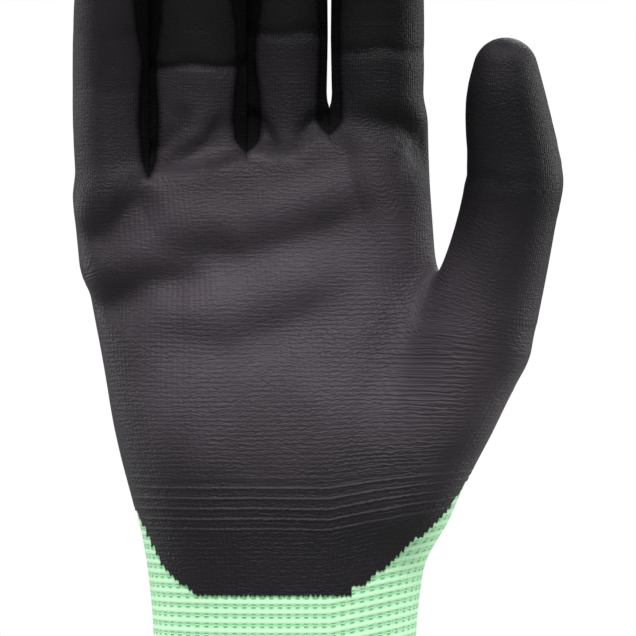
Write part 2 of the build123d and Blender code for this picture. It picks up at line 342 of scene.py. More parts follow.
def surface_nets(field):
    """Vertices and quads of the field's zero level."""
    inside = field < 0
    count = np.zeros(tuple(n - 1 for n in field.shape), np.int8)
    nx, ny, nz = count.shape
    for i, j, k in CORNERS:
        count += inside[i : nx + i, j : ny + j, k : nz + k]
    cells = np.argwhere((count > 0) & (count < 8))
    total = np.zeros((len(cells), 3))
    number = np.zeros(len(cells))
    for corner in CORNERS:
        for axis in range(3):
            if corner[axis] == 1:
                continue
            other = list(corner)
            other[axis] = 1
            a = field[tuple((cells + corner).T)]
            b = field[tuple((cells + other).T)]
            crossing = (a < 0) != (b < 0)
            share = np.where(crossing, a / np.where(crossing, a - b, 1), 0)
            spot = np.tile(np.array(corner, float), (len(cells), 1))
            spot[:, axis] = share
            total += spot * crossing[:, None]
            number += crossing
    vertices = GRID_LOW + GRID * (cells + total / number[:, None])
    index = np.full(count.shape, -1)
    index[tuple(cells.T)] = np.arange(len(cells))
    quads = []
    for axis in range(3):
        u, v = (axis + 1) % 3, (axis + 2) % 3
        edges = np.argwhere(np.diff(inside, axis=axis))
        keep = (edges[:, u] > 0) & (edges[:, v] > 0)
        keep &= (edges[:, u] < field.shape[u] - 1) & (edges[:, v] < field.shape[v] - 1)
        edges = edges[keep]
        ring = []
        for du, dv in ((1, 1), (0, 1), (0, 0), (1, 0)):
            cell = edges.copy()
            cell[:, u] -= du
            cell[:, v] -= dv
            ring.append(index[tuple(cell.T)])
        quad = np.stack(ring, axis=1)
        starts_inside = inside[tuple(edges.T)]
        quads.append(np.where(starts_inside[:, None], quad, quad[:, ::-1]))
    return vertices, np.vstack(quads)


class Field:
    """Reads the sampled distance and its slope anywhere."""

    def __init__(self, values):
        self.values = values

    def at(self, points):
        spots = (points - GRID_LOW) / GRID
        cell = np.clip(spots.astype(int), 0, np.array(self.values.shape) - 2)
        share = spots - cell
        value = np.zeros(len(points))
        for corner in CORNERS:
            weight = np.prod(np.abs(1 - np.array(corner) - share), axis=1)
            value += weight * self.values[tuple((cell + corner).T)]
        return value

    def project(self, points):
        """Moves points onto the zero level, along the slope."""
        half = 0.6
        slope = np.zeros_like(points)
        for axis in range(3):
            step = np.zeros(3)
            step[axis] = half
            slope[:, axis] = (self.at(points + step) - self.at(points - step)) / (2 * half)
        size = np.maximum((slope**2).sum(1), 0.2)
        move = np.clip(self.at(points) / size, -0.8, 0.8)
        return points - slope * move[:, None]


def mesh_edges(faces):
    """All edges of a quad mesh, each once."""
    pairs = np.vstack([faces[:, [k, (k + 1) % faces.shape[1]]] for k in range(faces.shape[1])])
    return np.unique(np.sort(pairs, axis=1), axis=0)


def relax(vertices, faces, field, rounds):
    """Evens out the mesh while it stays on the surface."""
    edges = mesh_edges(faces)
    degree = np.bincount(edges.ravel(), minlength=len(vertices))[:, None]
    for _ in range(rounds):
        total = np.zeros_like(vertices)
        for k in range(3):
            total[:, k] += np.bincount(edges[:, 0], vertices[edges[:, 1], k], len(vertices))
            total[:, k] += np.bincount(edges[:, 1], vertices[edges[:, 0], k], len(vertices))
        vertices = vertices + 0.6 * (total / np.maximum(degree, 1) - vertices)
        vertices = field.project(vertices)
    return vertices


def vertex_normals(vertices, triangles):
    a, b, c = (vertices[triangles[:, k]] for k in range(3))
    face = np.cross(b - a, c - a)
    normals = np.zeros_like(vertices)
    for k in range(3):
        for corner in range(3):
            normals[:, k] += np.bincount(triangles[:, corner], face[:, k], len(vertices))
    return normals / np.maximum(np.linalg.norm(normals, axis=1, keepdims=True), 1e-9)


# -------- knit and coating coordinates
def ellipse_share(angle, ratio):
    """The length round an ellipse from its front to an angle, over half the outline: 0 to 1."""
    table_angles = np.linspace(0, math.pi, 121)
    ratios = np.linspace(1, 4.5, 15)
    rows = []
    for value in ratios:
        speed = np.hypot(value * np.cos(table_angles), np.sin(table_angles))
        length = np.concatenate([[0], np.cumsum((speed[1:] + speed[:-1]) / 2)])
        rows.append(length / length[-1])
    rows = np.array(rows)
    place = np.clip((ratio - 1) / (ratios[1] - ratios[0]), 0, len(ratios) - 1.001)
    row = place.astype(int)
    share = place - row
    column = np.clip(angle / (table_angles[1] - table_angles[0]), 0, len(table_angles) - 1.001)
    col = column.astype(int)
    part = column - col
    near = rows[row, col] * (1 - part) + rows[row, col + 1] * part
    far = rows[row + 1, col] * (1 - part) + rows[row + 1, col + 1] * part
    return near * (1 - share) + far * share


# The coating's lower edge, seen from the palm: level over the heel, then rising to both sides.
COAT_HEM = WRIST + 13.8
EDGE_X = (-75, -38.5, -34.6, -31, -27, -22, 16.6, 17.6, 21.6, 22.2, 26.4, 30.4, 38.5, 42.8, 46, 50, 90)
EDGE_RISE = (75, 20.5, 12.5, 6, 2.2, 0, 0, 1.4, 2.4, 4, 7, 11, 17.5, 22, 27, 33.5, 95)
PLAIN_EDGE_X = (-37.5, 43)  # beyond these, on the hand's sides, the edge wavers and doesn't step
JITTER = 1.2  # how far the edge wavers from stitch to stitch
PALM_WRAP = -0.3  # how far the coating wraps round the hand's sides, as a share of its depth
WALES = 74  # columns of stitches round the hand
FINGER_WALES = 25


def palm_wale(x, y, z):
    """Columns of stitches counted from the middle of the palm to a point, the same front and back."""
    middle, half_width, depth = hand_section(z)
    from_side = np.arctan2(np.abs(y) / depth, (x - middle) / half_width)
    lean = math.pi / 2 - from_side
    quarter = ellipse_share(np.abs(lean), half_width / depth)
    return np.sign(lean) * quarter * WALES / 2


def knit_coordinates(points):
    """The course and stitch column of each point, and how far inside the coating's edge it is: first
    with the edge stepping from stitch to stitch, then with a plain edge."""
    x, y, z = points.T
    depth = half_depth(z)
    wale = palm_wale(x, y, z)
    course = z - 0.18 * np.maximum(x - 12, 0) * smooth_step(112, 84, z)
    rise = np.interp(x, EDGE_X, EDGE_RISE)
    jitter = cell_noise(np.floor(z / COURSE), np.floor(wale)) - 0.5
    step_x = (np.floor(x / COURSE) + 0.5) * COURSE
    step_rise = np.interp(step_x, EDGE_X, EDGE_RISE)
    step_rise = step_rise + 0.5 * cell_noise(np.floor(x / COURSE), 3.0) * (step_rise > 0.5)
    step_rise = np.round(step_rise / COURSE) * COURSE - 0.28 * np.cos(2 * math.pi * x / COURSE)
    on_side = (x > PLAIN_EDGE_X[1]) | (x < PLAIN_EDGE_X[0])
    front = z - COAT_HEM - np.where(on_side, rise - jitter, step_rise)
    side = (-y / depth - PALM_WRAP) * depth
    coat = side + JITTER * jitter
    plain = side
    palm_skin = palm_distance(points)
    skins = {name: digit.distance(points) for name, digit in digits.items()}
    for digit in digits.values():
        skin = skins[digit.name]
        others = np.min([skins[name] for name in skins if name != digit.name], axis=0)
        along, palm, across, radius = digit.place(points)
        spread = 16.0 if digit.name == "thumb" else 5.0
        weight = np.clip(0.5 + (palm_skin - skin) / spread, 0, 1)
        weight = weight * weight * (3 - 2 * weight) * smooth_step(-0.8, 0.8, others - skin)
        lean = math.pi / 2 - np.arctan2(np.abs(palm), across)
        middle_wale = palm_wale(digit.root[0], 0.0, digit.root[2])
        own_wale = middle_wale + lean / math.pi * FINGER_WALES
        turned = weight
        if digit.name == "thumb":
            turned = weight * smooth_step(-34, -10, along)
        course = course * (1 - turned) + (digit.root[2] + along) * turned
        wale = wale * (1 - turned) + own_wale * turned
        tip = digit.along[-1] + digit.radii[-1]
        threshold = -digit.wrap - 1.6 * smooth_step(tip - 15, tip - 8, along)
        noise = cell_noise(np.floor(along / COURSE), np.floor(lean * 8)) - 0.5
        own_coat = (palm / radius - threshold) * radius
        coat = coat * (1 - weight) + (own_coat + JITTER * noise) * weight
        plain = plain * (1 - weight) + own_coat * weight
    return course, wale, np.minimum(front, coat), np.minimum((z - (COAT_HEM + rise)) * 0.8, plain)


# -------- fingers that lie side by side
TOUCH = {"little": -35.9, "ring": -10.0, "middle": 11.8}  # x where each finger meets the next one
SIDE_FLAT = 1.3  # the outermost part of each side that is pressed flat
HALF_GAP = COAT_PROUD + 0.03  # of two fingers' knit where their coatings touch
OPEN_GAP = ((1, 2.5, 5, 14, 20, 30), (0, 0.45, 0.65, 0.45, 0.35, 0.45))  # between middle and index finger


PRESS_START, PRESS_FULL = 11, 7  # how far below the finger's hinges the pressing starts, and is full
PRESS_REACH = 6  # how far from the meeting line the sides are kept clear of it


def finger_half_width(digit, z):
    return np.interp(z, digit.centres[:, 2], digit.radii) * digit.flatness


GROOVE_DEPTH = 3.0
GROOVE_FADE = (231, 221)  # heights where a groove has ended, and where it starts to fade
FINGER_LEAN = ((180, 215, 235), (0, -3.5, -12))  # how far the fingers curl forward, by height
# The groove between two fingers, pushed back and painted with shadow: heights and half-widths. It narrows
# where the fingers bulge.
GROOVES = {
    "little": ((171, 176, 186, 194, 202, 210, 219, 232), (0.2, 1.8, 2.5, 2.1, 1.4, 2.6, 3.3, 2.5)),
    "ring": ((178, 181, 187, 194, 202, 210, 219, 240), (0.6, 3.0, 3.5, 3.0, 1.9, 2.2, 3.6, 2.5)),
    "middle": ((183, 186, 192, 200, 211, 219, 240), (0.8, 2.9, 2.8, 2.4, 2.2, 2.6, 2.2)),
}


def recess_depth(points):
    """How deep in the groove between two fingers a point of the palm side is: 0 to 1."""
    x, y, z = points.T
    deep = np.zeros(len(points))
    for name, (heights, widths) in GROOVES.items():
        width = np.interp(z, heights, widths)
        above = smooth_step(heights[0] - 1.5, heights[0] + 1.5, z)
        deep = np.maximum(deep, smooth_step(width + 0.9, width - 0.7, np.abs(x - TOUCH[name])) * above)
    forward = y - np.interp(z, *FINGER_LEAN)
    return deep * smooth_step(10, 1, forward) * smooth_step(*GROOVE_FADE, z)


def press_together(points, rest_x):
    """Narrows the gaps between the fingers until their sides meet, as in a glove with a hand in it."""
    x, y, z = points.T
    shift = np.zeros(len(points))
    for left_name, right_name in zip(FINGERS, FINGERS[1:]):
        left, right = digits[left_name], digits[right_name]
        left_x, right_x = left.root[0], right.root[0]
        touch = TOUCH[left_name]
        root = min(left.root[2], right.root[2])
        half_gap = HALF_GAP
        if left_name == "middle":
            half_gap = HALF_GAP + np.interp(z - root, *OPEN_GAP)
            touch = touch + 0.12 * np.sin(0.9 * y) * smooth_step(root + 4, root + 1, z)
        left_side = left_x + finger_half_width(left, z) - SIDE_FLAT
        right_side = right_x - finger_half_width(right, z) + SIDE_FLAT
        ends = [np.full(len(z), left_x), left_side, right_side, np.full(len(z), right_x)]
        goals = [ends[0], touch - half_gap, touch + half_gap, ends[3]]
        moved = x.copy()
        for a, b, goal_a, goal_b in zip(ends, ends[1:], goals, goals[1:]):
            inside = (x >= a) & (x < b)
            t = (x - a) / np.maximum(b - a, 1e-6)
            moved = np.where(inside, goal_a + t * (goal_b - goal_a), moved)
        height = smooth_step(root - PRESS_START, root - PRESS_FULL, z)
        right_of = np.sign(rest_x - (left_side + right_side) / 2)
        beside = (np.abs(moved - touch) < PRESS_REACH) & (z > root - PRESS_REACH)
        clear = touch + right_of * np.maximum((moved - touch) * right_of, half_gap)
        moved = np.where(beside, clear, moved)
        shift += (moved - x) * height
    out = points.copy()
    out[:, 0] += shift
    return out


# -------- folds and creases
def path_distance(x, z, path):
    """Distance to a bent line seen from the palm, and the share of the line passed there."""
    best = np.full(len(x), 1e9)
    share = np.zeros(len(x))
    steps = len(path) - 1
    for i, ((ax, az), (bx, bz)) in enumerate(zip(path, path[1:])):
        dx, dz = bx - ax, bz - az
        t = np.clip(((x - ax) * dx + (z - az) * dz) / (dx * dx + dz * dz), 0, 1)
        gap_x, gap_z = x - ax - t * dx, z - az - t * dz
        gap = np.hypot(gap_x, gap_z) * np.sign(gap_z + 1e-9)
        closer = np.abs(gap) < np.abs(best)
        best = np.where(closer, gap, best)
        share = np.where(closer, (i + t) / steps, share)
    return best, share


# Each fold of the palm: its line of (x, z) seen from the palm, its depth, the width of the steep side
# above the line and of the gentle side below it, and the height of the roll that rises above it.
PALM_FOLDS = [
    ([(-54, 152), (-49, 156), (-44, 160), (-38, 165), (-32, 167)], 2.0, 2.8, 4.5, 0.7),
    ([(-40, 152), (-29, 151), (-11, 150.5), (4.5, 155), (18, 160), (35, 168)], 1.9, 3.4, 6.5, 1.2),
    ([(-50, 134), (-47, 137), (-43, 140), (-35, 143.5), (-26, 144), (-16, 142)], 2.4, 3.2, 5.5, 0.9),
    ([(-42, 130), (-28, 128), (-14, 127), (-2, 131), (11, 137), (26, 146)], 1.6, 4.0, 8.0, 0.9),
    ([(15, 187), (25, 186), (31, 185), (35.2, 181.5), (35, 177), (31, 171)], 2.2, 2.6, 3.4, 0.2),
    ([(-8, 191), (-4.5, 186), (-2, 180), (-0.8, 174)], 1.5, 1.4, 1.4, 0.0),
    ([(9.5, 190), (6, 185.5), (2.8, 180), (1, 174)], 1.5, 1.4, 1.4, 0.0),
    ([(-25.5, 192), (-25.8, 185), (-30, 179.5), (-37, 176)], 1.2, 1.5, 1.5, 0.0),
    ([(-17, 190), (-20.5, 181), (-27.5, 175), (-37, 170)], 1.6, 1.5, 2.4, 0.3),
]
# Each crease across a digit: its digit, its distance along it, depth, and the roll just below it.
DIGIT_CREASES = [
    ("little", 17.6, 0.2, 0.1),
    ("ring", 20.2, 1.7, 0.9),
    ("middle", 23.2, 1.4, 0.6),
    ("index", 10.2, 1.1, 0.5),
    ("little", 34.0, 0.3, 0.1),
    ("ring", 44.0, 1.2, 0.4),
    ("middle", 48.5, 1.2, 0.4),
    ("index", 43.5, 1.2, 0.4),
    ("thumb", 20.0, 0.5, 0.2),
]
THUMB_KNUCKLES = (18.0, -26.0)  # distances along the thumb of the two corners of its outer side
KNUCKLE_HEIGHT = 0.9


def displacement(points, normals):
    """How far each point moves along its normal, at the palm's rolls and the creases of the bends,
    and how much painted shadow darkens the bottoms of the folds and creases."""
    x, y, z = points.T
    palm_side = smooth_step(0.0, 0.5, -normals[:, 1])
    move = np.zeros(len(points))
    dark = np.zeros(len(points))
    for path, depth, steep, gentle, roll in PALM_FOLDS:
        gap, share = path_distance(x, z, path)
        fade = smooth_step(0, 0.25, share) * smooth_step(1, 0.7, share) * palm_side
        width = np.where(gap > 0, steep, gentle)
        move -= depth * bell(gap, width) * fade
        move += roll * bell(gap - 2.6 * steep, steep * 1.2) * fade
        # painted shadow along the bottom of each palm fold
        dark += 0.16 * depth * bell(gap - 0.6 * steep, 0.8 * steep) * fade
    for name, distance, depth, roll in DIGIT_CREASES:
        digit = digits[name]
        along, palm, across, radius = digit.place(points)
        close = smooth_step(3.0, 1.0, digit.distance(points))
        bow = 1.6 * (across / radius) ** 2 + 0.5 * np.sin(0.55 * across + 3 * distance)
        gap = along - distance + bow
        front = smooth_step(-0.25, 0.75, palm / radius) * close
        move += (-0.6 * depth * bell(gap, 1.3) + 0.5 * roll * bell(gap + 5, 3.0)) * front
        # painted shadow in each crease across a digit
        dark += 0.55 * depth * bell(gap, np.where(gap > 0, 1.9, 1.5)) * front
    along, palm, across, radius = digits["thumb"].place(points)
    outer = smooth_step(-0.1, 0.6, (x - hinges["thumb_tip_bend"][0] + 6) / radius)
    outer *= smooth_step(3, 1, digits["thumb"].distance(points)) * smooth_step(100, 112, z)
    for distance in THUMB_KNUCKLES:
        move += KNUCKLE_HEIGHT * bell(along - distance, 4.0) * outer
    return move, dark


# -------- cutting and building pieces
# Distances along each digit where its pieces meet.
SEAMS = {
    "little": (-4.2, 9.2, 26.2),
    "ring": (-3.5, 11.2, 33.0),
    "middle": (-2.7, 12.5, 36.5),
    "index": (-8.8, 10.5, 32.3),
    "thumb": (-4.5, 9.5),
}
SEAM_REACH = 17  # a seam cuts only the faces this near to its centre
SEAM_DEPTH = 1.2  # and no further out than this from the digit's own skin


def cut_mesh(vertices, faces):
    """Opens the glove at the hem and cuts it at the seams."""
    mesh = bpy.data.meshes.new("glove_skin")
    mesh.from_pydata(vertices.tolist(), [], faces.tolist())
    work = bmesh.new()
    work.from_mesh(mesh)
    bpy.data.meshes.remove(mesh)
    everything = work.verts[:] + work.edges[:] + work.faces[:]
    bmesh.ops.bisect_plane(work, geom=everything, plane_co=(0, 0, 0), plane_no=(0, 0, 1), clear_inner=True)
    for digit in digits.values():
        for distance in SEAMS[digit.name]:
            centre, direction = digit.centre_at(distance), digit.direction_at(distance)
            middles = [(f, np.array(f.calc_center_median())) for f in work.faces]
            middles = [(f, middle) for f, middle in middles if np.linalg.norm(middle - centre) < SEAM_REACH]
            near = [f for f, middle in middles if digit.distance(middle) < SEAM_DEPTH]
            geometry = set(near)
            for face in near:
                geometry.update(face.edges)
                geometry.update(face.verts)
            bmesh.ops.bisect_plane(work, geom=list(geometry), plane_co=centre, plane_no=direction)
    return work


def refine_edge(work):
    """Small faces along the coating's edge, so that it can step from stitch to stitch."""
    work.verts.index_update()
    points = np.array([v.co for v in work.verts])
    plain = knit_coordinates(points)[3]
    near = np.abs(plain) < 1.6
    edges = [e for e in work.edges if near[e.verts[0].index] and near[e.verts[1].index]]
    bmesh.ops.subdivide_edges(work, edges=edges, cuts=2, use_grid_fill=True)
    bmesh.ops.triangulate(work, faces=[f for f in work.faces if len(f.verts) > 4])


def split_places(points):
    """The piece that each point belongs to, and each piece's name: palm, or a digit and a number."""
    owner = np.zeros(len(points), int)
    names = ["palm"]
    for digit in digits.values():
        along, palm, across, radius = digit.place(points)
        close = digit.distance(points) < 1.5
        for number, distance in enumerate(SEAMS[digit.name]):
            centre, direction = digit.centre_at(distance), digit.direction_at(distance)
            beyond = (points - centre) @ direction > 0
            ahead = along > distance - 6
            owner[close & beyond & ahead] = len(names)
            names.append((digit.name, number))
    return owner, names


def small_patches(polygons, chosen, smallest=80):
    """Which of the chosen polygons belong to patches, joined by their sides, of only a few polygons."""
    parent = list(range(len(polygons)))

    def root(i):
        while parent[i] != i:
            parent[i] = parent[parent[i]]
            i = parent[i]
        return i

    seen = {}
    members = np.nonzero(chosen)[0]
    for i in members.tolist():
        corners = polygons[i]
        for a, b in zip(corners, corners[1:] + corners[:1]):
            other = seen.setdefault((min(a, b), max(a, b)), i)
            if other != i:
                parent[root(i)] = root(other)
    roots = np.array([root(i) for i in members.tolist()])
    sizes = np.bincount(roots, minlength=len(polygons))
    small = np.zeros(len(polygons), bool)
    small[members] = sizes[roots] < smallest
    return small


def triangulate(polygons):
    return np.array([(p[0], p[k], p[k + 1]) for p in polygons for k in range(1, len(p) - 1)])


def shell(name, skin, polygons, outward, inward, material):
    """A closed thin piece: the faces pushed outward and inward along the skin's normals."""
    used = np.unique(np.concatenate([np.array(p) for p in polygons]))
    number = np.full(len(skin["points"]), -1)
    number[used] = np.arange(len(used))
    points, normals = skin["points"][used], skin["normals"][used]
    outer = points + normals * outward
    inner = points - normals * inward
    count = len(used)
    front = [[int(number[i]) for i in p] for p in polygons]
    back = [[i + count for i in reversed(p)] for p in front]
    edges = dict.fromkeys((a, b) for p in front for a, b in zip(p, p[1:] + p[:1]))
    rim = [[b, a, a + count, b + count] for a, b in edges if (b, a) not in edges]
    piece = add_piece(name, np.vstack([outer, inner]), front + back + rim, material)
    mesh = piece.data
    knit = mesh.attributes.new("knit", "FLOAT_VECTOR", "POINT")
    knit.data.foreach_set("vector", np.tile(skin["knit"][used], (2, 1)).astype(np.float32).ravel())
    for key in ("ridge", "shade"):
        layer = mesh.attributes.new(key, "FLOAT", "POINT")
        layer.data.foreach_set("value", np.tile(skin[key][used], 2).astype(np.float32))
    custom = np.vstack([normals, -normals])
    mesh.normals_split_custom_set_from_vertices(custom.tolist())
    return piece


# -------- materials
class Signal:
    """A node's output, which adds, subtracts and multiplies like a number."""

    def __init__(self, nodes, socket):
        self.nodes = nodes
        self.socket = socket

    def __add__(self, other):
        return self.nodes.math("ADD", self, other)

    def __sub__(self, other):
        return self.nodes.math("SUBTRACT", self, other)

    def __mul__(self, other):
        return self.nodes.math("MULTIPLY", self, other)


class Nodes:
    """Short calls for building a node tree."""

    def __init__(self, name):
        self.material = bpy.data.materials.new(name)
        self.material.use_nodes = True
        self.tree = self.material.node_tree
        self.tree.nodes.clear()
        output = self.tree.nodes.new("ShaderNodeOutputMaterial")
        self.shader = self.tree.nodes.new("ShaderNodeBsdfPrincipled")
        self.tree.links.new(self.shader.outputs[0], output.inputs[0])

    def link(self, value, socket):
        if isinstance(value, (int, float)):
            socket.default_value = value
        elif isinstance(value, tuple):
            socket.default_value = value if len(value) == len(socket.default_value) else (*value, 1)
        else:
            self.tree.links.new(getattr(value, "socket", value), socket)

    def node(self, kind, **inputs):
        """A node with its inputs set or linked. An underscore stands for the space in an input's name."""
        node = self.tree.nodes.new(kind)
        for name, value in inputs.items():
            self.link(value, node.inputs[name.replace("_", " ")])
        return node

    def math(self, operation, a, b=0.0):
        node = self.node("ShaderNodeMath")
        node.operation = operation
        self.link(a, node.inputs[0])
        self.link(b, node.inputs[1])
        return Signal(self, node.outputs[0])

    def attribute(self, name, output="Fac"):
        node = self.node("ShaderNodeAttribute")
        node.attribute_name = name
        return Signal(self, node.outputs[output])

    def combine(self, x, y):
        return Signal(self, self.node("ShaderNodeCombineXYZ", X=x, Y=y).outputs[0])

    def noise(self, vector, scale, detail=2.0, roughness=0.5):
        look = {"Scale": scale, "Detail": detail, "Roughness": roughness}
        return Signal(self, self.node("ShaderNodeTexNoise", Vector=vector, **look).outputs[0])

    def ramp(self, value, low, high, out_low=0.0, out_high=1.0):
        limits = {"From_Min": low, "From_Max": high, "To_Min": out_low, "To_Max": out_high}
        node = self.node("ShaderNodeMapRange", Value=value, **limits)
        node.interpolation_type = "SMOOTHSTEP"
        return Signal(self, node.outputs[0])

    def mix(self, share, a, b):
        node = self.node("ShaderNodeMix")
        node.data_type = "RGBA"
        self.link(share, node.inputs[0])
        self.link(a, node.inputs[6])
        self.link(b, node.inputs[7])
        return Signal(self, node.outputs[2])

    def bump(self, height, distance):
        node = self.node("ShaderNodeBump", Height=height, Distance=distance, Strength=1.0)
        return Signal(self, node.outputs[0])

    def surface(self, **inputs):
        """Sets or links inputs of the shader."""
        for name, value in inputs.items():
            self.link(value, self.shader.inputs[name.replace("_", " ")])
        return self.material


def stitch_grid(nodes):
    """Millimetres up the knit, and the column of stitches."""
    parts = nodes.node("ShaderNodeSeparateXYZ", Vector=nodes.attribute("knit", "Vector")).outputs
    return Signal(nodes, parts[1]), Signal(nodes, parts[0])


WALE_WIDTH = 2.6  # millimetres across one column of stitches


def coating_material():
    """Matt black, painted paler where light falls on the palm, with the rows of stitches showing through as
    ridges.
    """
    nodes = Nodes("matt_black_coating")
    course, wale = stitch_grid(nodes)
    across = wale * WALE_WIDTH
    place = nodes.combine(across, course)
    wander = (nodes.noise(place, 0.035, 1.0) - 0.5) * 3.0
    waver = (nodes.noise(place, 0.95, 1.0) - 0.5) * 1.7
    wave = nodes.math("SINE", (course + wander + waver) * (2 * math.pi / COURSE))
    patches = nodes.ramp(nodes.noise(place, 0.09, 2.0), 0.32, 0.62, 0.4, 1.0)
    ridge = wave * patches * nodes.attribute("ridge")
    dashes = nodes.noise(nodes.combine(across * 0.55, course * 1.9), 0.9, 2.0)
    heel = nodes.ramp(course, WRIST + 29, WRIST + 32) * nodes.ramp(course, WRIST + 46, WRIST + 42)
    heel_wave = nodes.math("SINE", (course + (wander + waver) * 0.3) * (math.pi / (1.08 * COURSE)))
    heel_rows = heel * nodes.math("POWER", nodes.math("MAXIMUM", heel_wave, 0.0), 3.0)
    columns = nodes.math("SINE", across * (2 * math.pi / COURSE))
    grain = nodes.noise(place, 3.4, 3.0, 0.65)
    height = heel_rows * 3.0 + ridge + columns * 0.2 + dashes * 2.2 + grain * 0.3
    shade = nodes.attribute("shade")
    # painted light and shade from the shade attribute, times a random tone, with the rows by the heel paler
    painted_shade_and_tone = shade * nodes.ramp(nodes.noise(place, 0.05, 3.0), 0.3, 0.7, 0.7, 1.0) + heel_rows * 0.25
    # painted shadow: near black where the shade attribute is below 0
    painted_crease_shadow = nodes.ramp(shade, -0.5, -0.05, 1.0, 0.0)  # in the bottoms of the creases and grooves
    # painted shade: from near black to a lit grey as the paleness rises
    colour = nodes.mix(painted_shade_and_tone, (0.0016, 0.0013, 0.0022), (0.056, 0.046, 0.056))
    colour = nodes.mix(painted_crease_shadow, colour, (0.0008, 0.0008, 0.001))
    rough = nodes.ramp(grain, 0.25, 0.75, 0.52, 0.66) + painted_crease_shadow * 0.4
    normal = nodes.bump(height, 0.00013)
    return nodes.surface(Base_Color=colour, Roughness=rough, Normal=normal, Specular_IOR_Level=0.2)


def knit_material():
    """Mint green rows, with two lines of darker gaps between the stitches in each."""
    nodes = Nodes("mint_green_knit")
    course, wale = stitch_grid(nodes)
    in_row = nodes.math("FRACT", nodes.math("DIVIDE", course, 2 * COURSE))
    band = nodes.math("COSINE", in_row * (2 * math.pi))
    dash = nodes.ramp(nodes.math("ABSOLUTE", nodes.math("FRACT", wale) - 0.5), 0.1, 0.3, 1.0, 0.0)
    lower = nodes.ramp(nodes.math("ABSOLUTE", in_row - 0.38), 0.05, 0.13, 1.0, 0.0)
    upper = nodes.ramp(nodes.math("ABSOLUTE", in_row - 0.68), 0.04, 0.12, 1.0, 0.0)
    holes = dash * nodes.math("MAXIMUM", lower, upper * 0.6)
    fine = nodes.math("SINE", wale * (4 * math.pi))
    fuzz = nodes.noise(nodes.combine(wale * WALE_WIDTH, course), 2.6, 3.0, 0.6)
    height = band * 0.5 + fine * 0.12 - holes * 1.1 + fuzz * 0.5
    light, mid, dark = (0.56, 0.90, 0.58), (0.38, 0.77, 0.43), (0.12, 0.44, 0.18)
    body = nodes.mix(nodes.ramp(band, -0.4, 0.9), mid, light)
    body = nodes.mix(nodes.ramp(fuzz, 0.35, 0.75, 0.0, 0.35), body, light)
    colour = nodes.mix(holes * 0.8, body, dark)
    nodes.surface(Base_Color=colour, Roughness=0.85, Normal=nodes.bump(height, 0.00022))
    nodes.surface(Sheen_Weight=0.25, Sheen_Roughness=0.5, Sheen_Tint=(0.8, 1.0, 0.82))
    return nodes.surface(Specular_IOR_Level=0.25)


def thread_material(name, light, dark, scale):
    nodes = Nodes(name)
    fibre = nodes.noise(nodes.node("ShaderNodeTexCoord").outputs["Object"], scale, 3.0, 0.7)
    colour = nodes.mix(nodes.ramp(fibre, 0.3, 0.7), dark, light)
    nodes.surface(Base_Color=colour, Normal=nodes.bump(fibre, 0.00012))
    return nodes.surface(Roughness=0.8, Sheen_Weight=0.3)


# -------- threads round the hem and cuff
def rim_path(height, grow, steps):
    """Points and outward directions round the cuff at a height."""
    angle = np.linspace(-math.pi, math.pi, 721)
    middle, half_width, depth = (float(value) for value in hand_section(np.array(height)))
    power = 2 / SQUARENESS
    x = middle + half_width * np.sign(np.sin(angle)) * np.abs(np.sin(angle)) ** power
    y = -depth * np.sign(np.cos(angle)) * np.abs(np.cos(angle)) ** power
    length = np.concatenate([[0], np.cumsum(np.hypot(np.diff(x), np.diff(y)))])
    even = np.linspace(0, length[-1], steps, endpoint=False)
    px, py = np.interp(even, length, x), np.interp(even, length, y)
    tangent = np.stack([np.roll(px, -1) - np.roll(px, 1), np.roll(py, -1) - np.roll(py, 1)], 1)
    tangent /= np.linalg.norm(tangent, axis=1, keepdims=True)
    outward = np.stack([tangent[:, 1], -tangent[:, 0]], 1)
    return np.stack([px, py], 1) + outward * grow, outward


THREAD_SIDES = 6


def closed_threads(paths, radius, name, material):
    """Round threads along closed paths, as one piece."""
    vertices, faces = [], []
    turn = np.arange(THREAD_SIDES) * 2 * math.pi / THREAD_SIDES
    cosine, sine = np.cos(turn)[None, :, None], np.sin(turn)[None, :, None]
    for path in paths:
        count = len(path)
        ahead = np.roll(path, -1, 0) - np.roll(path, 1, 0)
        ahead /= np.linalg.norm(ahead, axis=1, keepdims=True)
        side = np.cross(ahead, np.array([0.0, 0.0, 1.0]) + 0.001)
        size = np.linalg.norm(side, axis=1, keepdims=True)
        side = np.where(size > 0.05, side / np.maximum(size, 1e-6), [1.0, 0, 0])
        lift = np.cross(side, ahead)
        start = sum(len(v) for v in vertices)
        ring = path[:, None] + radius * (cosine * side[:, None] + sine * lift[:, None])
        vertices.append(ring.reshape(-1, 3))
        for i in range(count):
            near, far = (start + THREAD_SIDES * (n % count) for n in (i, i + 1))
            for k in range(THREAD_SIDES):
                m = (k + 1) % THREAD_SIDES
                faces.append((near + k, far + k, far + m, near + m))
    return add_piece(name, np.vstack(vertices), faces, material)


def thread_path(rim, outward, reach, height):
    """A path round the cuff, at a reach out of the rim and at a height."""
    return np.column_stack([rim + outward * reach[:, None], np.full(len(rim), height)])


RIPPLE = 0.12  # how far a straight thread swings in and out
HEM_TURNS, STEPS_PER_TURN, STEPS_PER_STITCH = 112, 14, 6
HEM_MIDDLE, HEM_HALF_HEIGHT, HEM_TOP = 2.5, 2.4, 4.6
HEM_LOOP_PROUD = 0.45  # how far the loops and the outer needle thread stand off the knit
HEM_BACK_PROUD = 0.35
HEM_THREAD_RADIUS, ELASTIC_RADIUS = 0.34, 0.3
ELASTIC_RINGS, ELASTIC_STEPS = 14, 300


